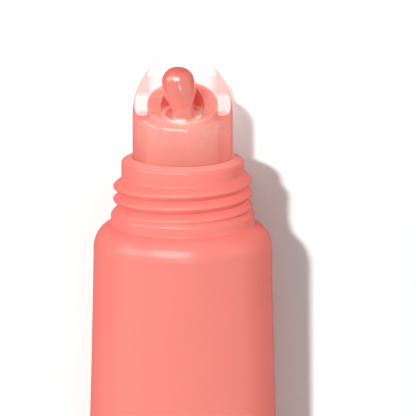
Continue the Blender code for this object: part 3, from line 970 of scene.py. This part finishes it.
class Finish(Wiring):
    """A material whose pattern is set in the part's own space."""

    def __init__(self, name, **shader_values):
        self.material = bpy.data.materials.new(name)
        self.material.use_nodes = True
        super().__init__(self.material.node_tree)
        self.shader = self.tree.nodes["Principled BSDF"]
        for key, value in shader_values.items():
            self.shader.inputs[key.replace("_", " ")].default_value = value

    def place(self):
        """Where each point lies in the part's own space."""
        return self.node("ShaderNodeTexCoord").outputs["Object"]

    def distances(self):
        """Distances of each point along the part's three axes."""
        return self.split(self.place())

    def noise(self, grain, detail):
        """Noise whose spots are about one grain across."""
        node = self.node("ShaderNodeTexNoise")
        self.link(1 / grain, node.inputs["Scale"])
        self.link(detail, node.inputs["Detail"])
        self.link(self.place(), node.inputs["Vector"])
        return node.outputs["Fac"]

    def between(self, value, low, high, start=NOISE_LOW, end=NOISE_HIGH):
        """A number from low to high as a value goes from start to end; noise by default."""
        node = self.node("ShaderNodeMapRange")
        self.link(value, node.inputs["Value"])
        self.link(start, node.inputs["From Min"])
        self.link(end, node.inputs["From Max"])
        self.link(low, node.inputs["To Min"])
        self.link(high, node.inputs["To Max"])
        return node.outputs["Result"]

    def climb(self, value, start, end):
        """Nought up to start, one past end, and an even climb between them."""
        return self.between(value, 0, 1, start, end)

    def coloured(self, share, one, other):
        """Colour the finish with one shade and a share of another."""
        colour = self.blend(share, one, other)
        self.link(colour, self.shader.inputs["Base Color"])
        return colour

    def drift(self, noise, shades):
        """Colour that drifts between two shades."""
        return self.coloured(self.between(noise, 0, 1), *shades)

    def roughness(self, noise, low, high):
        self.link(self.between(noise, low, high), self.shader.inputs["Roughness"])

    def bump(self, noise, height, strength, before=None):
        node = self.node("ShaderNodeBump")
        self.link(strength, node.inputs["Strength"])
        self.link(height, node.inputs["Distance"])
        self.link(noise, node.inputs["Height"])
        if before:
            self.link(before, node.inputs["Normal"])
        self.link(node.outputs["Normal"], self.shader.inputs["Normal"])
        return node.outputs["Normal"]

    def let_light_through(self, tint, share, back_share=0):
        """Lamps shine through by a share, tinted, and back faces let sight through by another."""
        clear = self.node("ShaderNodeBsdfTransparent")
        self.link((*tint, 1), clear.inputs["Color"])
        shadow_rays = self.node("ShaderNodeLightPath").outputs["Is Shadow Ray"]
        back_faces = self.node("ShaderNodeNewGeometry").outputs["Backfacing"]
        most = self.sum(
            "MAXIMUM", self.product(shadow_rays, share), self.product(back_faces, back_share)
        )
        mix = self.node("ShaderNodeMixShader")
        for source, socket in zip((most, self.shader.outputs[0], clear.outputs[0]), mix.inputs):
            self.link(source, socket)
        self.link(mix.outputs[0], self.tree.nodes["Material Output"].inputs["Surface"])


def coral_plastic():
    """Satin coral plastic, grained, with painted light: paler from the collar's land forwards, cap
    included.
    """
    finish = Finish(
        "coral_plastic",
        IOR=1.5,
        Subsurface_Weight=0.3,
        Subsurface_Radius=(1.0, 0.6, 0.5),
        Subsurface_Scale=0.0008,
        Specular_IOR_Level=0.2,
        Coat_Weight=0.5,
        Coat_Roughness=0.2,
    )
    body = finish.drift(finish.noise(grain=0.011, detail=3), CORAL)
    # Painted light: the land, and all that lies ahead of it, cap included, is painted paler
    proud = finish.sum("SUBTRACT", finish.distances()[1], COLLAR_PLACE)
    rise_share = finish.sum("DIVIDE", proud, COLLAR_LAND_RISE)
    finish.coloured(finish.climb(rise_share, start=0.02, end=0.2), body, PAINTED_LIGHT_CORAL)
    finish.roughness(finish.noise(grain=0.0016, detail=3), low=0.3, high=0.36)
    grain = finish.bump(finish.noise(grain=0.00016, detail=2), height=0.000004, strength=0.5)
    finish.bump(finish.noise(grain=0.0035, detail=1), height=0.00003, strength=0.25, before=grain)
    return finish.material


def painted_flank_reflection(finish, across, along, rise):
    """Where the dome's flanks carry a painted pink reflection."""
    off_middle = finish.sum("ABSOLUTE", across)
    off_window = finish.off(rise, FLANK_WINDOW_RISE)
    return finish.product(
        finish.climb(off_middle, FLANK_REFLECTION_INNER, FLANK_REFLECTION_OUTER),
        finish.climb(along, FLANK_REFLECTION_START, FLANK_REFLECTION_FULL),
        finish.climb(off_window, FLANK_WINDOW_HALF, FLANK_WINDOW_END),
    )


def painted_outline_reflection(finish, across, along, rise):
    """Where a band of the dome's skin carries a painted pale pink reflection."""
    into_dome = finish.sum("SUBTRACT", along, COLLAR_PLACE + TIP_STRAIGHT)
    off_band = finish.sum("ABSOLUTE", finish.sum("MULTIPLY_ADD", into_dome, OUTLINE_REFLECTION_SLOPE, rise))
    band = finish.between(off_band, OUTLINE_REFLECTION_SHARE, 0, OUTLINE_REFLECTION_INNER, OUTLINE_REFLECTION_OUTER)
    dome_share = finish.sum(
        "ADD",
        finish.sum("DIVIDE", finish.squares(across, rise), TIP_RADIUS**2),
        finish.sum("POWER", finish.sum("DIVIDE", into_dome, TIP_DOME_HEIGHT), 2),
    )
    return finish.product(
        band,
        finish.climb(dome_share, DOME_SKIN_SHARE, DOME_SKIN_FULL_SHARE),
        finish.climb(into_dome, DOME_FADE_START, DOME_FADE_END),
    )


def painted_outlet_shade(finish, across, along, rise):
    """Where the outlet's wall is painted dark red, as painted shade in the hole."""
    off_outlet = finish.sum("SUBTRACT", rise, OUTLET_RISE)
    from_outlet = finish.sum("POWER", finish.squares(across, off_outlet), 0.5)
    wall, past_wall = OUTLET_RADIUS + OUTLET_ROUND / 2, OUTLET_RADIUS + OUTLET_ROUND * 1.5
    return finish.product(
        finish.between(from_outlet, 1, 0, wall, past_wall),
        finish.climb(along, OUTLET_SHADE_START, OUTLET_SHADE_FULL),
    )


def clear_plastic():
    """Clear polished plastic that lets most of the lamps' light through to what it covers."""
    finish = Finish(
        "clear_plastic",
        IOR=1.5,
        Transmission_Weight=1,
        Sheen_Weight=1,
        Sheen_Roughness=0.35,
        Sheen_Tint=(*SHEEN_PINK, 1),
    )
    clear = finish.drift(finish.noise(grain=0.004, detail=2), CLEAR)
    across, along, up = finish.distances()
    spot = (across, along, finish.sum("SUBTRACT", up, AXIS_HEIGHT))
    # Painted pink reflection of the balm on the dome's flanks and along its outline
    painted_reflection = finish.sum("MAXIMUM", painted_flank_reflection(finish, *spot), painted_outline_reflection(finish, *spot))
    clear = finish.coloured(painted_reflection, clear, PAINTED_REFLECTION_PINK)
    # Painted shade: the outlet's wall is painted dark red
    finish.coloured(painted_outlet_shade(finish, *spot), clear, OUTLET_SHADE_RED)
    finish.roughness(finish.noise(grain=0.0012, detail=3), low=0.02, high=0.05)
    finish.bump(finish.noise(grain=0.0022, detail=1), height=0.00001, strength=0.2)
    finish.let_light_through(CLEAR[1], share=1, back_share=1)
    return finish.material


def balm(name, shades, low_shade, low_depths, reach, wetness, roughness, see_through):
    """Soft coral balm, translucent and fine grained, deeper in colour towards the tube."""
    finish = Finish(
        name,
        IOR=1.48,
        Specular_IOR_Level=wetness,
        Subsurface_Weight=1,
        Subsurface_Radius=(1.0, 0.5, 0.42),
        Subsurface_Scale=reach,
    )
    body = finish.drift(finish.noise(grain=0.0009, detail=3), shades)
    start, end = (COLLAR_PLACE - depth for depth in low_depths)
    finish.coloured(finish.climb(finish.distances()[1], start, end), body, low_shade)
    roughest = roughness + BALM_ROUGHNESS_DRIFT
    finish.roughness(finish.noise(grain=0.0006, detail=2), low=roughness, high=roughest)
    finish.bump(finish.noise(grain=0.0007, detail=2), height=0.00002, strength=0.25)
    finish.let_light_through(LIGHT_IN_BALM, see_through)
    return finish.material


def balm_in_bore():
    """The balm seen through the clear wall, paler and dull."""
    return balm(
        "balm_in_bore",
        shades=BORE_BALM,
        low_shade=BORE_BALM_LOW,
        low_depths=(-0.0037, 0.0005),
        reach=0.003,
        wetness=0.05,
        roughness=0.3,
        see_through=0,
    )


def balm_in_bead():
    """The balm in the open air, glossy and deeper in colour."""
    return balm(
        "balm_bead",
        shades=BEAD_BALM,
        # Painted shade: the bead is darker at its foot in the outlet
        low_shade=BEAD_FOOT_SHADE,
        low_depths=(-0.0064, -0.0054),
        reach=0.001,
        wetness=1,
        roughness=0.06,
        see_through=0.5,
    )


def liner_plastic():
    """Plain white moulded plastic."""
    finish = Finish("liner_plastic", IOR=1.5, Subsurface_Weight=0.1, Subsurface_Scale=0.0008)
    finish.drift(finish.noise(grain=0.004, detail=3), LINER_WHITE)
    finish.roughness(finish.noise(grain=0.001, detail=2), low=0.38, high=0.48)
    finish.bump(finish.noise(grain=0.0002, detail=2), height=0.000005, strength=0.4)
    return finish.material


def gasket_foam():
    """White foam with fine closed cells."""
    finish = Finish("gasket_foam", IOR=1.45)
    cells = finish.node("ShaderNodeTexVoronoi")
    finish.link(1 / FOAM_CELL, cells.inputs["Scale"])
    finish.link(finish.place(), cells.inputs["Vector"])
    finish.drift(finish.noise(grain=0.0006, detail=3), FOAM_WHITE)
    finish.roughness(finish.noise(grain=0.0004, detail=2), low=0.75, high=0.9)
    finish.bump(cells.outputs["Distance"], height=0.00004, strength=0.7)
    return finish.material


def make_floor():
    """A table top that looks white and throws warm light back onto the tube."""
    shape = bmesh.new()
    bmesh.ops.create_grid(shape, x_segments=1, y_segments=1, size=FLOOR_HALF_WIDTH)
    floor = piece_from("floor", shape)
    finish = Finish("floor", Roughness=1, Specular_IOR_Level=0, Emission_Color=(*FLOOR_GLOW, 1))
    finish.coloured(finish.most_of({"Is Camera Ray": 1}), FLOOR_BOUNCE, FLOOR_SEEN)
    through_plastic = {"Is Transmission Ray": 1, "Transparent Depth": PLASTIC_GATHERS}
    finish.link(finish.most_of(through_plastic), finish.shader.inputs["Emission Strength"])
    floor.data.materials.append(finish.material)


def make_room():
    """An even room that looks white and gives a dim, cool light."""
    world = bpy.data.worlds.new("room")
    world.use_nodes = True
    room = Wiring(world.node_tree)
    seen = {"Is Camera Ray": 1, "Is Glossy Ray": 1, "Is Transmission Ray": 1}
    share = room.most_of({**seen, "Transparent Depth": PLASTIC_GATHERS})
    ground = world.node_tree.nodes["Background"]
    room.link(room.blend(share, ROOM_LIGHT, WHITE), ground.inputs["Color"])
    bpy.context.scene.world = world


def sun(name, direction, strength, width):
    """A far lamp that shines from a direction and makes no highlights."""
    light = bpy.data.lights.new(name, "SUN")
    light.energy = strength
    light.angle = math.radians(width)
    lamp = in_scene(name, light)
    lamp.rotation_euler = direction.to_track_quat("Z", "Y").to_euler()
    lamp.visible_glossy = False


def softbox(name, place, size, strength, shape="RECTANGLE", lights=True, glints=True):
    """A soft lamp at a place off the collar, turned towards it, its first size across the axis."""
    light = bpy.data.lights.new(name, "AREA")
    light.shape = shape
    light.size, light.size_y = size
    light.energy = strength
    lamp = in_scene(name, light)
    back = Vector(place).normalized()
    across = NECK_AXIS.cross(back).normalized()
    facing = Matrix((across, back.cross(across), back)).transposed().to_4x4()
    lamp.matrix_world = Matrix.Translation(AIM + Vector(place)) @ facing
    lamp.visible_camera = False
    lamp.visible_diffuse = lights
    lamp.visible_glossy = glints


def light_scene():
    """A hard key from the upper left, three softboxes, and two lamps that only make highlights."""
    sun("key", SUN_DIRECTION, strength=2.42, width=4)
    softbox("left_softbox", (-0.46, 0.2, 0.11), (0.4, 0.2), 0.9)
    softbox("right_softbox", (0.5, 0.2, 0.06), (0.5, 0.12), 2, glints=False)
    softbox("front_softbox", (0, -0.45, 0.32), (0.3, 0.1), 0.5, glints=False)
    softbox("key_panel", (-0.15, 0.32, 0.47), (0.6, 0.3), 3.2, "ELLIPSE", lights=False)
    softbox("spark", (0.05, 0.09, 0.49), (0.024, 0.024), 0.1, "ELLIPSE", lights=False)


def place_camera():
    """The photograph's view, from far enough away that nothing looks drawn out."""
    lens = bpy.data.cameras.new("camera")
    lens.sensor_width = FILM_WIDTH
    lens.lens = FILM_WIDTH * VIEW_DISTANCE / VIEW_WIDTH
    lens.clip_start = VIEW_NEAREST
    lens.clip_end = VIEW_FARTHEST
    camera = in_scene("camera", lens)
    towards = Vector((0, math.sin(VIEW_LEAN), math.cos(VIEW_LEAN)))
    camera.location = Vector(VIEW_TARGET) + towards * VIEW_DISTANCE
    camera.rotation_euler.x = -VIEW_LEAN
    bpy.context.scene.camera = camera


def finished(piece, finish, body, slot, *nodes):
    """A piece with its finish, riding on a body in place of its nodes."""
    piece.data.materials.clear()
    piece.data.materials.append(finish)
    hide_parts(*nodes)
    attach(piece, body)


def main():
    """Dress the part, then light it and aim the camera."""
    coral, clear = coral_plastic(), clear_plastic()
    wet_balm, bead_balm = balm_in_bore(), balm_in_bead()
    white, foam = liner_plastic(), gasket_foam()
    thread = thread_rule()

    finished(make_sleeve(coral), coral, "tube", "coral_plastic", "tube_sleeve")
    finished(make_head(thread, coral), coral, "tube", "coral_plastic", "tube_head")
    finished(make_tip(), clear, "tube", "clear_plastic", "applicator_tip")
    finished(make_core(), wet_balm, "balm", "balm", "balm_column")
    finished(make_bead(bead_balm), bead_balm, "balm", "balm", "balm_column")
    finished(make_cap_shell(), coral, "cap", "coral_plastic", "cap_shell")
    finished(make_cap_liner(thread, white), white, "cap", "liner_plastic", "cap_liner")
    finished(make_gasket(), foam, "gasket", "gasket_foam", "cap_gasket")
    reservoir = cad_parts["balm_reservoir"]
    reservoir.data.materials.clear()
    reservoir.data.materials.append(wet_balm)

    make_floor()
    make_room()
    light_scene()
    place_camera()
    bpy.context.scene.view_settings.view_transform = "Standard"


main()
